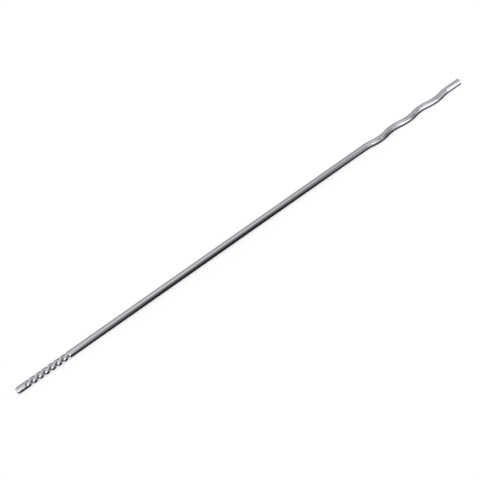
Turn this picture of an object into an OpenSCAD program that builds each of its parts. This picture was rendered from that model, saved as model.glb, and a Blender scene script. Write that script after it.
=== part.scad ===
// Masonry wall tie: one length of drawn stainless wire. The fluted end is driven into a wall plug,
// and the waved end is bedded in a mortar joint. The tie lies flat, with its wave level.

/* [Wire] */
// Diameter of the drawn wire, mm
wire_d = 4; // [3:0.1:6]
// Overall length from the driven tip to the struck end, mm
tie_length = 300; // [240:5:400]

/* [Driven end] */
// Plain tip in front of the flutes, mm
tip_length = 5.5; // [4:0.5:10]
// Length of the taper that leads the tip into the plug, mm
tip_taper_length = 1.4; // [0.5:0.1:3]
// Radius that the taper takes off at the tip, mm
tip_taper = 0.4; // [0.1:0.05:1]
// Length of the rolled flutes, mm
flute_length = 28; // [15:0.5:40]
// Number of flutes round the wire
flute_starts = 2; // [1:1:6]
// Length in which a flute goes once round the wire, mm
flute_lead = 7.6; // [5:0.2:20]
// Direction of the first flute at the tip, degrees from level
flute_turn = 100; // [0:1:180]
// Depth of a flute, mm
flute_depth = 0.5; // [0.2:0.05:0.8]
// Share of the girth that the flutes take up
flute_share = 0.75; // [0.25:0.05:0.9]
// Length over which a flute runs out at the shank, mm
flute_runout = 2.5; // [1:0.5:6]

/* [Waved end] */
// Number of waves
wave_count = 3; // [2:1:4]
// Length of one wave, mm
wave_pitch = 20; // [16:0.5:26]
// Depth of the wave, from crest to trough, mm
wave_depth = 2.5; // [1.5:0.1:4]
// Straight tail after the wave, mm
tail_length = 9.5; // [5:0.5:20]
// Chamfer on the struck end, mm
end_chamfer = 0.2; // [0.1:0.05:0.5]

/* [Hidden] */
$fn = 96;
steel = [0.70, 0.71, 0.73];
wire_r = wire_d / 2;

// Places along the wire, measured from the driven tip
flute_end = tip_length + flute_length;
wave_start = tie_length - tail_length - wave_count * wave_pitch;
wave_end = tie_length - tail_length;

// A stretch that continues another is thinner by the ease and reaches into it by the seat
ease = 0.01;
seat = 0.25;
seat_r = wire_r - ease;

// Each half wave is two equal arcs that meet without a kink
bend_angle = 2 * atan(2 * wave_depth / wave_pitch);
bend_r = wave_pitch / (4 * sin(bend_angle));
seat_angle = seat / bend_r * 180 / PI / 2;

// Points round all the flutes and all the ribs, and the greatest turn from ring to ring
flute_points = 28;
rib_points = 8;
ring_turn = 12;
flute_steps = ceil(flute_points / flute_starts);
rib_steps = ceil(rib_points / flute_starts);
start_angle = 360 / flute_starts;
flute_angle = start_angle * flute_share;
ring_count = ceil(360 * (flute_length - 2 * seat) / flute_lead / ring_turn);
ring_gap = (flute_length - 2 * seat) / ring_count;
ring_places = concat(
    [tip_length - seat],
    [for (k = [0 : ring_count]) tip_length + seat + k * ring_gap],
    [flute_end + seat]
);

// Angles of one ring's points, each measured from the middle of its own flute
step_angles = concat(
    [for (k = [0 : flute_steps - 1]) flute_angle * (k / flute_steps - 0.5)],
    [for (k = [0 : rib_steps - 1]) flute_angle / 2 + (start_angle - flute_angle) * k / rib_steps]
);
ring_points = len(step_angles) * flute_starts;

// How much of the full depth a flute has at a place along the wire
function runout(x) = max(0, min(1, (flute_end - x) / flute_runout));

// Hollow of a flute's round section, by the angle from its middle
function hollow(a) = abs(a) < flute_angle / 2 ? (1 + cos(360 * a / flute_angle)) / 2 : 0;

// One ring of the fluted stretch; the flutes turn the left-hand way
function ring(x) = [
    for (s = [0 : flute_starts - 1], a = step_angles)
        let (
            r = seat_r - flute_depth * hollow(a) * runout(x),
            turn = flute_turn + s * start_angle + a - 360 * x / flute_lead
        )
        [x, r * cos(turn), r * sin(turn)]
];

// A solid of revolution round the wire's own line, from an outline of [radius, place] points
module turned(outline) {
    rotate([0, 90, 0]) rotate_extrude() polygon(outline);
}

// A stretch of round wire bent about a centre, between two directions in degrees
module bend(centre, from, to, r) {
    translate([centre.x, centre.y, 0])
        rotate([0, 0, from])
            rotate_extrude(angle = to - from) translate([bend_r, 0]) circle(r = r);
}

module tip() {
    turned([
        [0, 0],
        [wire_r - tip_taper, 0],
        [wire_r, tip_taper_length],
        [wire_r, tip_length],
        [0, tip_length]
    ]);
}

module flutes() {
    last = len(ring_places) - 1;
    points = [for (x = ring_places) each ring(x)];
    sides = [
        for (k = [0 : last - 1], j = [0 : ring_points - 1])
            let (
                a = k * ring_points + j,
                b = k * ring_points + (j + 1) % ring_points
            )
            each [[a, b + ring_points, b], [a, a + ring_points, b + ring_points]]
    ];
    caps = [
        [for (j = [0 : ring_points - 1]) j],
        [for (j = [ring_points - 1 : -1 : 0]) last * ring_points + j]
    ];
    polyhedron(points, concat(sides, caps));
}

module shank() {
    turned([[0, flute_end], [wire_r, flute_end], [wire_r, wave_start], [0, wave_start]]);
}

module wave() {
    // Troughs, full size
    for (k = [0 : wave_count - 1])
        bend(
            [wave_start + (k + 0.5) * wave_pitch, bend_r - wave_depth],
            -90 - bend_angle, -90 + bend_angle, wire_r
        );
    // Crests, eased and seated in the troughs; the first and last are half bends
    for (k = [0 : wave_count])
        bend(
            [wave_start + k * wave_pitch, -bend_r],
            90 - (k == wave_count ? 0 : bend_angle) - seat_angle,
            90 + (k == 0 ? 0 : bend_angle) + seat_angle,
            seat_r
        );
}

module tail() {
    turned([
        [0, wave_end],
        [wire_r, wave_end],
        [wire_r, tie_length - end_chamfer],
        [wire_r - end_chamfer, tie_length],
        [0, tie_length]
    ]);
}

module wall_tie() {
    color(steel)
        translate([-tie_length / 2, wave_depth / 2, wire_r]) {
            tip();
            flutes();
            shank();
            wave();
            tail();
        }
}

wall_tie();
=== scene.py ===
import math

import bmesh
import bpy
from mathutils import Matrix, Vector


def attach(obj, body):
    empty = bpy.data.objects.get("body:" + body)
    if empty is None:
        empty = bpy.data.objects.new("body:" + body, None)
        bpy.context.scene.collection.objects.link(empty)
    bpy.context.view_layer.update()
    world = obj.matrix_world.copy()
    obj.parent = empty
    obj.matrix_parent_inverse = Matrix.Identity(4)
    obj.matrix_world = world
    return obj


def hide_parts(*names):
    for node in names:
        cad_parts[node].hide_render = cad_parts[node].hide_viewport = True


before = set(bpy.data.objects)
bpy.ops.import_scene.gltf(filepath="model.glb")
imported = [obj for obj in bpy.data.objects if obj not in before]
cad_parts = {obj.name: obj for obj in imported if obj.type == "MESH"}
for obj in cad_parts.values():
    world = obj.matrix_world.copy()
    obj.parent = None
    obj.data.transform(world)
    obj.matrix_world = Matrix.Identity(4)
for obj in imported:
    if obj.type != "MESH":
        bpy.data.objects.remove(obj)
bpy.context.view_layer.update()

# The tie is one length of stainless wire, drawn bright through a die and cropped to length. The driven end
# is rolled between dies into left-hand flutes behind a plain tip, and the other end is pressed into a wave
# of tangent bends with a straight tail.
MM = 0.001
tie_lengths = {
    "Wire diameter": 4 * MM,
    "Tie length": 300 * MM,
    "Tip length": 5.5 * MM,
    "Tip taper length": 1.4 * MM,
    "Tip taper": 0.4 * MM,
    "Flute length": 28 * MM,
    "Flute lead": 7.6 * MM,
    "Flute depth": 0.5 * MM,
    "Flute run-out": 2.5 * MM,
    "Wave pitch": 20 * MM,
    "Wave depth": 2.5 * MM,
    "Tail length": 9.5 * MM,
    "End chamfer": 0.2 * MM,
}
tie_shares = {"Flute starts": 2, "Flute turn": math.radians(100), "Flute share": 0.75, "Waves": 3}
rings = {
    "taper": 4, "tip": 6, "shoulder": 2, "flutes": 210,
    "shank": 30, "wave": 170, "tail": 8, "chamfer": 3,
}
points_round = 160
shoulder_gap = 0.02 * MM
merge_gap = 0.002 * MM
sharp_edge = math.radians(40)
steel_dark = (0.533, 0.545, 0.570, 1)
steel_light = (0.592, 0.605, 0.632, 1)
# Painted shade: the flute hollows are coloured darker, most of all at their bottoms
flute_hollow_shade = (0.39, 0.40, 0.42, 1)
hollow_shade_share = 0.35
line_scale = (25, 4000, 4000)
line_detail = 3.0
line_height = 0.05 * MM
line_bump = 0.05
mottle_scale = (60, 300, 300)
mottle_detail = 2.0
polish = 0.10
dulling = {"lines": 0.06, "mottle": 0.04, "flutes": 0.08, "cut ends": 0.25}
cut_depth = 0.02 * MM


class Socket:
    """A socket of a node tree. Arithmetic on it adds Math nodes, and node() adds any other node."""

    def __init__(self, tree, socket=None):
        self.tree = tree
        self.socket = socket

    def node(self, kind, settings=(), sockets=(), out=0):
        made = self.tree.nodes.new(kind)
        for name, value in dict(settings).items():
            setattr(made, name, value)
        for key, value in dict(sockets).items():
            if isinstance(value, Socket):
                self.tree.links.new(value.socket, made.inputs[key])
            else:
                made.inputs[key].default_value = value
        return Socket(self.tree, made.outputs[out])

    def math(self, operation, *others):
        return self.node("ShaderNodeMath", {"operation": operation}, dict(enumerate((self, *others))))

    def reflected(self, operation, other):
        return self.node("ShaderNodeMath", {"operation": operation}, {0: other, 1: self})

    def between(self, low, high):
        return self.math("MAXIMUM", low).math("MINIMUM", high)

    def __add__(self, other):
        return self.math("ADD", other)

    def __radd__(self, other):
        return self.reflected("ADD", other)

    def __sub__(self, other):
        return self.math("SUBTRACT", other)

    def __rsub__(self, other):
        return self.reflected("SUBTRACT", other)

    def __mul__(self, other):
        return self.math("MULTIPLY", other)

    def __rmul__(self, other):
        return self.reflected("MULTIPLY", other)

    def __truediv__(self, other):
        return self.math("DIVIDE", other)

    def __rtruediv__(self, other):
        return self.reflected("DIVIDE", other)

    def __pow__(self, other):
        return self.math("POWER", other)

    def __rpow__(self, other):
        return self.reflected("POWER", other)

    def __gt__(self, other):
        return self.math("GREATER_THAN", other)

    def __lt__(self, other):
        return self.math("LESS_THAN", other)


def drawn_steel():
    """Bright drawn stainless: fine lines along the wire, a faint mottle, duller flutes and cut ends, and
    painted shade in the flute hollows.
    """
    material = bpy.data.materials.new("drawn_stainless")
    material.use_nodes = True
    tree = material.node_tree
    shader = tree.nodes["Principled BSDF"]
    start = Socket(tree)
    on_wire = start.node("ShaderNodeAttribute", {"attribute_name": "on_wire"}, out="Vector")
    hollow = start.node("ShaderNodeAttribute", {"attribute_name": "hollow"}, out="Fac")

    def grain(scale, detail):
        place = start.node("ShaderNodeVectorMath", {"operation": "MULTIPLY"}, {0: on_wire, 1: scale})
        return start.node("ShaderNodeTexNoise", {}, {"Vector": place, "Scale": 1.0, "Detail": detail})

    def blend(share, first, second):
        return start.node("ShaderNodeMix", {"data_type": "RGBA"}, {0: share, 6: first, 7: second}, out=2)

    lines = grain(line_scale, line_detail)
    mottle = grain(mottle_scale, mottle_detail)
    drawn = blend((mottle + lines) / 2, steel_dark, steel_light)
    # Painted shade: the colour darkens with the depth of the flute hollow
    colour = blend(hollow * hollow_shade_share, drawn, flute_hollow_shade)
    along = start.node("ShaderNodeSeparateXYZ", {}, {"Vector": on_wire}, out="X")
    cut = (along < cut_depth) + (along > tie_lengths["Tie length"] - cut_depth)
    worn = lines * dulling["lines"] + mottle * dulling["mottle"]
    worked = hollow * dulling["flutes"] + cut * dulling["cut ends"]
    roughness = polish + worn + worked
    bump = start.node(
        "ShaderNodeBump", {}, {"Height": lines, "Strength": line_bump, "Distance": line_height}
    )
    tree.links.new(colour.socket, shader.inputs["Base Color"])
    tree.links.new(roughness.socket, shader.inputs["Roughness"])
    tree.links.new(bump.socket, shader.inputs["Normal"])
    shader.inputs["Metallic"].default_value = 1.0
    return material


def tie_tree(material):
    """The tie as a swept circle: a straight row of rings, bent into the wave, with flutes pressed in."""
    tree = bpy.data.node_groups.new("waved_and_fluted_wire", "GeometryNodeTree")
    for name in (*tie_lengths, *tie_shares):
        tree.interface.new_socket(name, in_out="INPUT", socket_type="NodeSocketFloat")
    tree.interface.new_socket("Tie", in_out="OUTPUT", socket_type="NodeSocketGeometry")
    given = tree.nodes.new("NodeGroupInput")
    size = {name: Socket(tree, given.outputs[name]) for name in (*tie_lengths, *tie_shares)}
    start = Socket(tree)

    def vector(x, y, z):
        return start.node("ShaderNodeCombineXYZ", {}, {"X": x, "Y": y, "Z": z})

    def split(value):
        return [start.node("ShaderNodeSeparateXYZ", {}, {"Vector": value}, out=axis) for axis in "XYZ"]

    def stored(geometry, name, kind, value):
        return start.node(
            "GeometryNodeStoreNamedAttribute", {"data_type": kind, "domain": "POINT"},
            {"Geometry": geometry, "Name": name, "Value": value},
        )

    def recalled(name, kind):
        return start.node("GeometryNodeInputNamedAttribute", {"data_type": kind}, {"Name": name})

    wire_r = size["Wire diameter"] / 2
    flute_start = size["Tip length"] + shoulder_gap
    flute_end = size["Tip length"] + size["Flute length"]
    wave_length = size["Waves"] * size["Wave pitch"]
    wave_end = size["Tie length"] - size["Tail length"]
    wave_start = wave_end - wave_length
    chamfer_start = size["Tie length"] - size["End chamfer"]

    # The straight line of rings, closer together where the wire is worked
    places = [
        0.0, size["Tip taper length"], size["Tip length"], flute_start, flute_end,
        wave_start, wave_end, chamfer_start, size["Tie length"],
    ]
    line = tree.nodes.new("GeometryNodeJoinGeometry")
    for count, begin, end in zip(rings.values(), places, places[1:]):
        stretch = start.node(
            "GeometryNodeMeshLine", {"mode": "END_POINTS"},
            {"Count": count, "Start Location": vector(begin, 0.0, 0.0), "Offset": vector(end, 0.0, 0.0)},
        )
        tree.links.new(stretch.socket, line.inputs[0])
    joined = start.node(
        "GeometryNodeMergeByDistance", {},
        {"Geometry": Socket(tree, line.outputs[0]), "Distance": merge_gap},
    )
    straight = start.node("GeometryNodeMeshToCurve", {}, {"Mesh": joined})
    place = start.node("GeometryNodeInputPosition")
    along = split(place)[0]
    straight = stored(straight, "along", "FLOAT", along)

    # The wave: each half wave is two equal arcs, so a place is known by its distance from a crest or trough
    half_wave = size["Wave pitch"] / 2
    slope = size["Wave depth"] / half_wave
    bend_r = half_wave * (1 + slope * slope) / (4 * slope)
    from_crest = (along - wave_start).between(0.0, wave_length).math("PINGPONG", half_wave)
    from_bend = from_crest.math("MINIMUM", half_wave - from_crest)
    sag = bend_r - (bend_r * bend_r - from_bend * from_bend).math("SQRT")
    in_trough = from_crest > half_wave / 2
    dip = sag + in_trough * (size["Wave depth"] - 2 * sag)
    set_down = vector(-0.5 * size["Tie length"], size["Wave depth"] / 2 - dip, wire_r)
    waved = start.node("GeometryNodeSetPosition", {}, {"Geometry": straight, "Offset": set_down})

    # The round wire, with the tip's taper and the chamfer of the struck end
    on_line = recalled("along", "FLOAT")
    taper = size["Tip taper"] * (1 - on_line / size["Tip taper length"]).math("MAXIMUM", 0.0)
    chamfer = (on_line - chamfer_start).math("MAXIMUM", 0.0)
    section = start.node(
        "GeometryNodeCurvePrimitiveCircle", {}, {"Resolution": points_round, "Radius": wire_r}
    )
    section = stored(section, "girth", "FLOAT_VECTOR", place)
    thickness = 1 - (taper + chamfer) / wire_r
    wire = start.node(
        "GeometryNodeCurveToMesh", {},
        {"Curve": waved, "Profile Curve": section, "Scale": thickness, "Fill Caps": True},
    )

    # The flutes: hollows of a round section that wind the left-hand way and run out at the shank
    _, across, above = split(place)
    height = above - wire_r
    side = across - size["Wave depth"] / 2
    direction = height.math("ARCTAN2", side) - size["Flute turn"]
    turn = direction / (2 * math.pi) + on_line / size["Flute lead"]
    from_flute = (turn * size["Flute starts"]).math("WRAP", 0.5, -0.5) / size["Flute share"]
    inside = (from_flute.math("ABSOLUTE") < 0.5) * (on_line > size["Tip length"] + shoulder_gap / 2)
    runout = ((flute_end - on_line) / size["Flute run-out"]).between(0.0, 1.0)
    hollow = inside * runout * (0.5 + 0.5 * (2 * math.pi * from_flute).math("COSINE"))
    wire = stored(wire, "hollow", "FLOAT", hollow)
    inward = -1 * recalled("hollow", "FLOAT") * size["Flute depth"] / wire_r
    pressed = vector(0.0, side * inward, height * inward)
    wire = start.node("GeometryNodeSetPosition", {}, {"Geometry": wire, "Offset": pressed})

    # Places on the straight wire, which the finish follows round the bends
    girth = split(recalled("girth", "FLOAT_VECTOR"))
    wire = stored(wire, "on_wire", "FLOAT_VECTOR", vector(on_line, girth[0], girth[1]))
    edge = start.node("GeometryNodeInputMeshEdgeAngle") > sharp_edge
    wire = start.node(
        "GeometryNodeSetShadeSmooth", {"domain": "FACE"}, {"Geometry": wire, "Shade Smooth": True}
    )
    wire = start.node(
        "GeometryNodeSetShadeSmooth", {"domain": "EDGE"},
        {"Geometry": wire, "Selection": edge, "Shade Smooth": False},
    )
    wire = start.node("GeometryNodeRealizeInstances", {}, {"Geometry": wire})
    wire = start.node("GeometryNodeSetMaterial", {}, {"Geometry": wire, "Material": material})
    taken = tree.nodes.new("NodeGroupOutput")
    tree.links.new(wire.socket, taken.inputs["Tie"])
    return tree


maker = bpy.data.objects.new("tie_maker", bpy.data.meshes.new("tie_maker"))
bpy.context.scene.collection.objects.link(maker)
shaping = maker.modifiers.new("shaping", "NODES")
shaping.node_group = tie_tree(drawn_steel())
for item in shaping.node_group.interface.items_tree:
    if item.in_out == "INPUT":
        shaping[item.identifier] = {**tie_lengths, **tie_shares}[item.name]
made = maker.evaluated_get(bpy.context.evaluated_depsgraph_get())
tie = bpy.data.objects.new("tie", bpy.data.meshes.new_from_object(made))
bpy.context.scene.collection.objects.link(tie)
bpy.data.objects.remove(maker)
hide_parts("wall_tie")
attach(tie, "root")

# The floor is a plain white paper table that keeps the tie's soft shadow. Seen directly or in the steel, it
# is lifted to white.
floor_half = 6.0
floor_lift = 0.62
paper_colour = (0.9, 0.9, 0.9, 1)
paper_roughness = 0.9


def sheet_material(name):
    material = bpy.data.materials.new(name)
    material.use_nodes = True
    return material, Socket(material.node_tree)


def in_sight(start):
    """One for a ray from the camera or off a shiny or clear surface, and nought off a matt one."""
    rays = ("Is Camera Ray", "Is Glossy Ray", "Is Transmission Ray")
    camera_ray, glossy_ray, clear_ray = [start.node("ShaderNodeLightPath", out=ray) for ray in rays]
    return (camera_ray + glossy_ray + clear_ray).math("MINIMUM", 1.0)


def grey(level):
    return level.node("ShaderNodeCombineColor", {}, {"Red": level, "Green": level, "Blue": level})


def white_paper():
    material, start = sheet_material("white_paper")
    shader = start.tree.nodes["Principled BSDF"]
    shader.inputs["Base Color"].default_value = paper_colour
    shader.inputs["Roughness"].default_value = paper_roughness
    shader.inputs["Specular IOR Level"].default_value = 0.0
    shader.inputs["Emission Strength"].default_value = floor_lift
    start.tree.links.new(grey(in_sight(start)).socket, shader.inputs["Emission Color"])
    return material


def card(name, corners, material):
    """A flat sheet that is part of the studio and not of the tie."""
    mesh = bpy.data.meshes.new(name)
    mesh.from_pydata(corners, [], [tuple(range(len(corners)))])
    mesh.materials.append(material)
    sheet = bpy.data.objects.new(name, mesh)
    bpy.context.scene.collection.objects.link(sheet)
    return sheet


def flat(reach_x, reach_y, height):
    return [
        (-reach_x, -reach_y, height), (reach_x, -reach_y, height),
        (reach_x, reach_y, height), (-reach_x, reach_y, height),
    ]


card("floor", flat(floor_half, floor_half, 0), white_paper())

# A dark flag lies under the tie and gives the steel its dark lower band. Like all the cards round the tie,
# it is a sheet with a light of its own that only the bright steel shows. Its level follows the wave, rises
# away from the wire and towards both ends, and is striped with white beside the flutes.
white_level = 1.75
half_length = tie_lengths["Tie length"] / 2
wire_r = tie_lengths["Wire diameter"] / 2
wave_pitch = tie_lengths["Wave pitch"]
wave_depth = tie_lengths["Wave depth"]
wave_end = half_length - tie_lengths["Tail length"]
wave_start = wave_end - tie_shares["Waves"] * wave_pitch
flute_start = tie_lengths["Tip length"] - half_length
flute_gap = tie_lengths["Flute lead"] / tie_shares["Flute starts"]
flag_reach = (170 * MM, 120 * MM)
flag_lift = 0.1 * MM

# A change along the tie: the places where it begins and ends, and the values before and after it
tip_white = (-146.5 * MM, -143.5 * MM, white_level, 0.50)
shank_dim = (-120 * MM, -50 * MM, 0.0, -0.37)
shank_lift = (0.0, 85 * MM, 0.0, 0.45)
wave_lift = (83 * MM, 125 * MM, 0.0, 1.1)
foot_level = (70 * MM, 130 * MM, 0.03, 0.12)
fade_reach = (40 * MM, 90 * MM, 12 * MM, 4 * MM)
tail_reach = (130 * MM, 141 * MM, 0.0, -2 * MM)
past_end = (half_length + 1 * MM, half_length + 6 * MM, 0.0, 1.0)
past_end_level = 0.9
fade_power = 1.2

# The flag is darker and fades more slowly beside the flanks of the wave that rise to a crest
rise_lag = 0.6
rise_begin = wave_start + 8 * MM
rise_end = (wave_end - 1 * MM, wave_end + 2 * MM, 1.0, 0.0)
rise_dark = 0.75
rise_reach = 10 * MM
first_stripe = flute_start + 3.4 * MM
stripes_end = flute_start + 29 * MM
stripe_step = (0.80, 0.96, 0.0, 1.2)
stripe_fade = (0.3 * MM, 1.4 * MM, 1.0, 0.0)


def ease(value, begin, end, before, after):
    """A smooth change of a value, from one level to another between two places."""
    return value.node(
        "ShaderNodeMapRange", {"interpolation_type": "SMOOTHSTEP"},
        {"Value": value, "From Min": begin, "From Max": end, "To Min": before, "To Max": after},
    )


def glow(name, level, one_sided=False, back=None, clear=None):
    """A sheet's own light. A level is a number or a rule on the place, and so is that of a one-sided
    sheet's back, which is clear if it has none. Another rule may make parts of the front clear."""
    material, start = sheet_material(name)
    tree = start.tree
    place = start.node("ShaderNodeTexCoord", out="Object")
    x, y, z = [start.node("ShaderNodeSeparateXYZ", {}, {"Vector": place}, out=axis) for axis in "XYZ"]
    nothing = start.node("ShaderNodeBsdfTransparent")

    def light(level):
        if callable(level):
            return start.node("ShaderNodeEmission", {}, {"Color": grey(level(x, y, z)), "Strength": 1.0})
        return start.node("ShaderNodeEmission", {}, {"Color": (1, 1, 1, 1), "Strength": level})

    shine = light(level)
    if clear:
        shine = start.node("ShaderNodeMixShader", {}, {0: clear(x, y, z), 1: shine, 2: nothing})
    if one_sided:
        behind = start.node("ShaderNodeNewGeometry", out="Backfacing")
        rear = light(back) if back else nothing
        shine = start.node("ShaderNodeMixShader", {}, {0: behind, 1: shine, 2: rear})
    tree.links.new(shine.socket, tree.nodes["Material Output"].inputs["Surface"])
    return material


def for_steel_only(sheet):
    for ray in ("camera", "diffuse", "shadow", "transmission", "volume_scatter"):
        setattr(sheet, f"visible_{ray}", False)


def flag_level(x, y, z):
    turn = (x - wave_start).between(0.0, wave_end - wave_start) * (2 * math.pi / wave_pitch)
    away = (y - wave_depth / 2 * turn.math("COSINE")).math("ABSOLUTE") - wire_r
    rising = (-1 * (turn - rise_lag).math("SINE")).math("MAXIMUM", 0.0)
    rising = rising * (x > rise_begin) * ease(x, *rise_end)
    far = ease(x, *tip_white) + ease(x, *shank_dim) + ease(x, *shank_lift) + ease(x, *wave_lift)
    stripe = ease(((x - first_stripe) * (2 * math.pi / flute_gap)).math("COSINE"), *stripe_step)
    stripe = stripe * (x > flute_start) * (x < stripes_end) * ease(away, *stripe_fade)
    near = ease(x, *foot_level) * (1 - rise_dark * rising) + stripe
    reach = ease(x, *fade_reach) + ease(x, *tail_reach) + rise_reach * rising
    level = near + (far - near) * (away / reach).between(0.0, 1.0) ** fade_power
    return level + (past_end_level - level) * ease(x.math("ABSOLUTE"), *past_end)


for_steel_only(card("dark_flag", flat(*flag_reach, flag_lift), glow("dark_flag", flag_level)))

# A grey wall stands in front of the tie, on edge, and gives the steel its middle tones. It lightens
# upwards, is white at its left end, and has a bright band on the right that the wave shows.
wall_half = 0.8
wall_front = -0.35
wall_foot = 2 * MM
wall_top = 0.30
wall_low = (0.07, 0.14, 0.08, 0.19)
wall_high = 0.385
wall_high_place = 0.14
left_grey = (-0.12, -0.185, 0.0, 0.36)
left_white = (-0.245, -0.262, 0.0, 0.64)
right_bright = (0.19, 0.28, 1.0, 3.2)
right_dim = (0.25, 0.30, 1.0, 0.45)


def upright(first, second, low, high):
    """The corners of a sheet that stands on edge, over the line between two places on the table."""
    return [(*first, low), (*second, low), (*second, high), (*first, high)]


def wall_level(x, y, z):
    low = ease(x, *wall_low)
    plain = low + (wall_high - low) * z / wall_high_place
    plain = plain * ease(x, *right_bright) * ease(x, *right_dim)
    return plain + (white_level - plain) * (ease(x, *left_grey) + ease(x, *left_white))


wall = upright((-wall_half, wall_front), (wall_half, wall_front), wall_foot, wall_top)
for_steel_only(card("front_wall", wall, glow("front_wall", wall_level)))

# Low cards stand on edge beside the wave and run out to the front. White ones face the flanks that fall
# to a trough, and make their bright lens shapes. Flags face the flanks that rise to a crest.
trough_front = -wave_depth / 2 - wire_r
crest_front = wave_depth / 2 - wire_r
card_gap = 0.3 * MM
card_foot = 0.2 * MM
flag_turn = 8

# Place along the wave in mm, turn in degrees, length and height in mm, level, and fade at the wire in mm
wave_cards = [
    (1.2, 22, 50, 4.5, 2.0, 3),
    (21.4, 29, 50, 5.5, 2.3, 3),
    (36.5, 50, 60, 6.5, white_level, 4),
    (52.0, 46, 60, 35.0, white_level, 6),
]
wave_flags = [
    (20.0, flag_turn, 20, 4.0, 0.10, 5),
    (40.0, flag_turn, 20, 3.5, 0.20, 6),
    (60.0, flag_turn, 30, 5.0, 0.90, 3),
]


def low_card(name, foot, turn, length, height, level, faces_right=True, back=None, fade=0.0):
    """A card on edge, from a foot beside the wire to the front. Its end at the wire may fade in."""
    end = (foot[0] + math.sin(turn) * length, foot[1] - math.cos(turn) * length)
    line = (end, foot) if faces_right else (foot, end)

    def clear(x, y, z):
        return ease(foot[1] - y, 0.0, fade, 1.0, 0.0)

    shine = glow(name, level, one_sided=True, back=back, clear=clear if fade else None)
    for_steel_only(card(name, upright(*line, card_foot, card_foot + height), shine))


def wave_row(name, rows, front, faces_right):
    for number, (along, turn, length, height, level, fade) in enumerate(rows, 1):
        low_card(
            f"{name}.{number}", (wave_start + along * MM, front - card_gap), math.radians(turn),
            length * MM, height * MM, level, faces_right, fade=fade * MM,
        )


wave_row("low_card", wave_cards, trough_front, True)
wave_row("low_flag", wave_flags, crest_front, False)

# A row of low slats stands beside the flutes, one at each repeat, white to the right and dark behind. They
# give each repeat its white leaf and its dark hook. A card at the tip lights the plain end.
slat_count = 8
slat_turn = math.radians(-14)
slat_length = 30 * MM
slat_height = 4.6 * MM
slat_gap = 0.2 * MM
slat_shift = -0.3 * MM
slat_white = (0.8 * MM, 1.8 * MM, 0.05, white_level)
slat_dark = (2.0 * MM, 3.4 * MM, 0.40, 0.03)
tip_turn = math.radians(-5)
tip_card_length = 28 * MM
tip_card_height = 20 * MM
tip_slope = 0.9
tip_levels = (1 * MM, 5 * MM, 1.5, 0.75)


def slat_face(x, y, z):
    return ease(z, *slat_white)


def slat_back(x, y, z):
    return ease(z, *slat_dark)


def tip_level(x, y, z):
    return ease(z - tip_slope * (crest_front - y), *tip_levels)


for number in range(slat_count):
    low_card(
        f"flute_card.{number}", (flute_start + slat_shift + number * flute_gap, crest_front - slat_gap),
        slat_turn, slat_length, slat_height, slat_face, back=slat_back if number else None,
    )
low_card(
    "tip_card", (-half_length, crest_front - card_gap),
    tip_turn, tip_card_length, tip_card_height, tip_level,
)

# A white card hangs high on the left and a grey flag stands on the right. A pale tent closes the studio
# round them, brightest overhead and a little to the front.
left_x = -0.4
left_line = (-0.35, 0.3)
left_heights = (0.2, 0.4)
left_level = 1.0
right_x = 0.45
right_line = (-0.35, 0.02)
right_heights = (1 * MM, 0.17)
right_low = 0.15
right_rise = 1.5
right_back = (-0.15, -0.08, 0.0, 0.4)
tent_r = 1.5
tent_top = Vector((0, -0.37, 0.93))
tent_side = 0.36
tent_overhead = 0.62
tent_right = 0.35
tent_far_right = (0.3, 0.6, 0.0, 0.07)


def right_level(x, y, z):
    return right_low + right_rise * z + ease(y, *right_back)


def tent_level(x, y, z):
    overhead = ((tent_top.y * y + tent_top.z * z) / tent_r).math("MAXIMUM", 0.0)
    right = (x / tent_r).math("MAXIMUM", 0.0)
    side = tent_side + tent_right * right + ease(right, *tent_far_right)
    return side + (tent_overhead - right) * overhead * overhead


left_side = upright((left_x, left_line[0]), (left_x, left_line[1]), *left_heights)
for_steel_only(card("left_card", left_side, glow("left_card", left_level)))
right_side = upright((right_x, right_line[0]), (right_x, right_line[1]), *right_heights)
for_steel_only(card("right_flag", right_side, glow("right_flag", right_level)))
tent_mesh = bmesh.new()
bmesh.ops.create_uvsphere(tent_mesh, u_segments=64, v_segments=32, radius=tent_r)
tent = bpy.data.objects.new("tent", bpy.data.meshes.new("tent"))
tent_mesh.to_mesh(tent.data)
tent_mesh.free()
tent.data.materials.append(glow("tent", tent_level))
bpy.context.scene.collection.objects.link(tent)
for_steel_only(tent)

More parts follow.
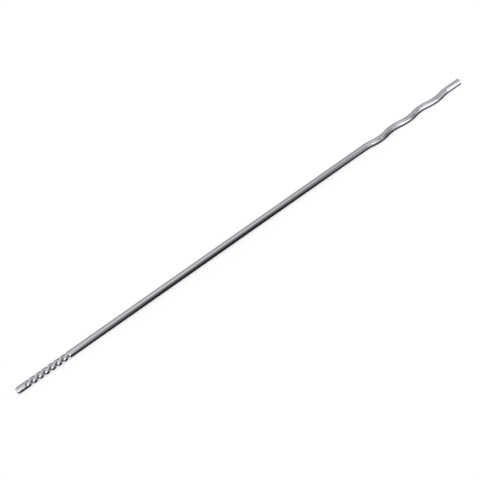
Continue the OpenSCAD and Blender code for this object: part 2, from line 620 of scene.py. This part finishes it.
# The light is a pale, even room that is white where it is seen. It has no lamp, because bright steel shows
# only what stands round it.
room_level = 0.42
world = bpy.data.worlds.new("studio")
bpy.context.scene.world = world
world.use_nodes = True
seen = in_sight(Socket(world.node_tree))
background = world.node_tree.nodes["Background"]
background.inputs["Color"].default_value = (1, 1, 1, 1)
world.node_tree.links.new((room_level + (1 - room_level) * seen).socket, background.inputs["Strength"])

# The camera stands where the photograph was taken: the tie's two ends fall on their places in the picture,
# the driven end is nearer, and the lens is turned so that the wire runs up to the right.
image_side = 480
tip_pixel = Vector((16.9, 391.35))
end_pixel = Vector((458.9, 81.5))
tip_depth = 0.380
lens_mm = 54.5
sensor_mm = 36.0
view_rise = math.radians(22.0)
nearest_seen = 10 * MM
focal = lens_mm / sensor_mm * image_side


def pixel_ray(pixel):
    """The direction of a pixel in the camera's own frame, one unit deep."""
    return Vector(((pixel.x - image_side / 2) / focal, (image_side / 2 - pixel.y) / focal, -1))


# The far end lies on its pixel's ray, a tie's length from the near end
tip_place = pixel_ray(tip_pixel) * tip_depth
end_ray = pixel_ray(end_pixel)
along_ray = end_ray.dot(tip_place)
spare = along_ray**2 - end_ray.length_squared * (tip_place.length_squared - tie_lengths["Tie length"] ** 2)
end_place = end_ray * (along_ray + math.sqrt(spare)) / end_ray.length_squared

# The wire's line and the direction from it to the camera, as the camera has them and as the table has them
wire_line = (end_place - tip_place).normalized()
middle = (tip_place + end_place) / 2
towards_camera = -(middle - middle.dot(wire_line) * wire_line).normalized()
camera_axes = Matrix((wire_line, towards_camera, wire_line.cross(towards_camera))).transposed()
table_line = Vector((1, 0, 0))
table_towards = Vector((0, -math.cos(view_rise), math.sin(view_rise)))
table_axes = Matrix((table_line, table_towards, table_line.cross(table_towards))).transposed()
turning = table_axes @ camera_axes.transposed()
wire_middle = Vector((0, wave_depth / 2, wire_r))
lens = bpy.data.cameras.new("camera")
lens.lens = lens_mm
lens.sensor_width = sensor_mm
lens.clip_start = nearest_seen
camera = bpy.data.objects.new("camera", lens)
bpy.context.scene.collection.objects.link(camera)
camera.matrix_world = Matrix.Translation(wire_middle - turning @ middle) @ turning.to_4x4()
bpy.context.scene.camera = camera
bpy.context.scene.view_settings.view_transform = "Standard"
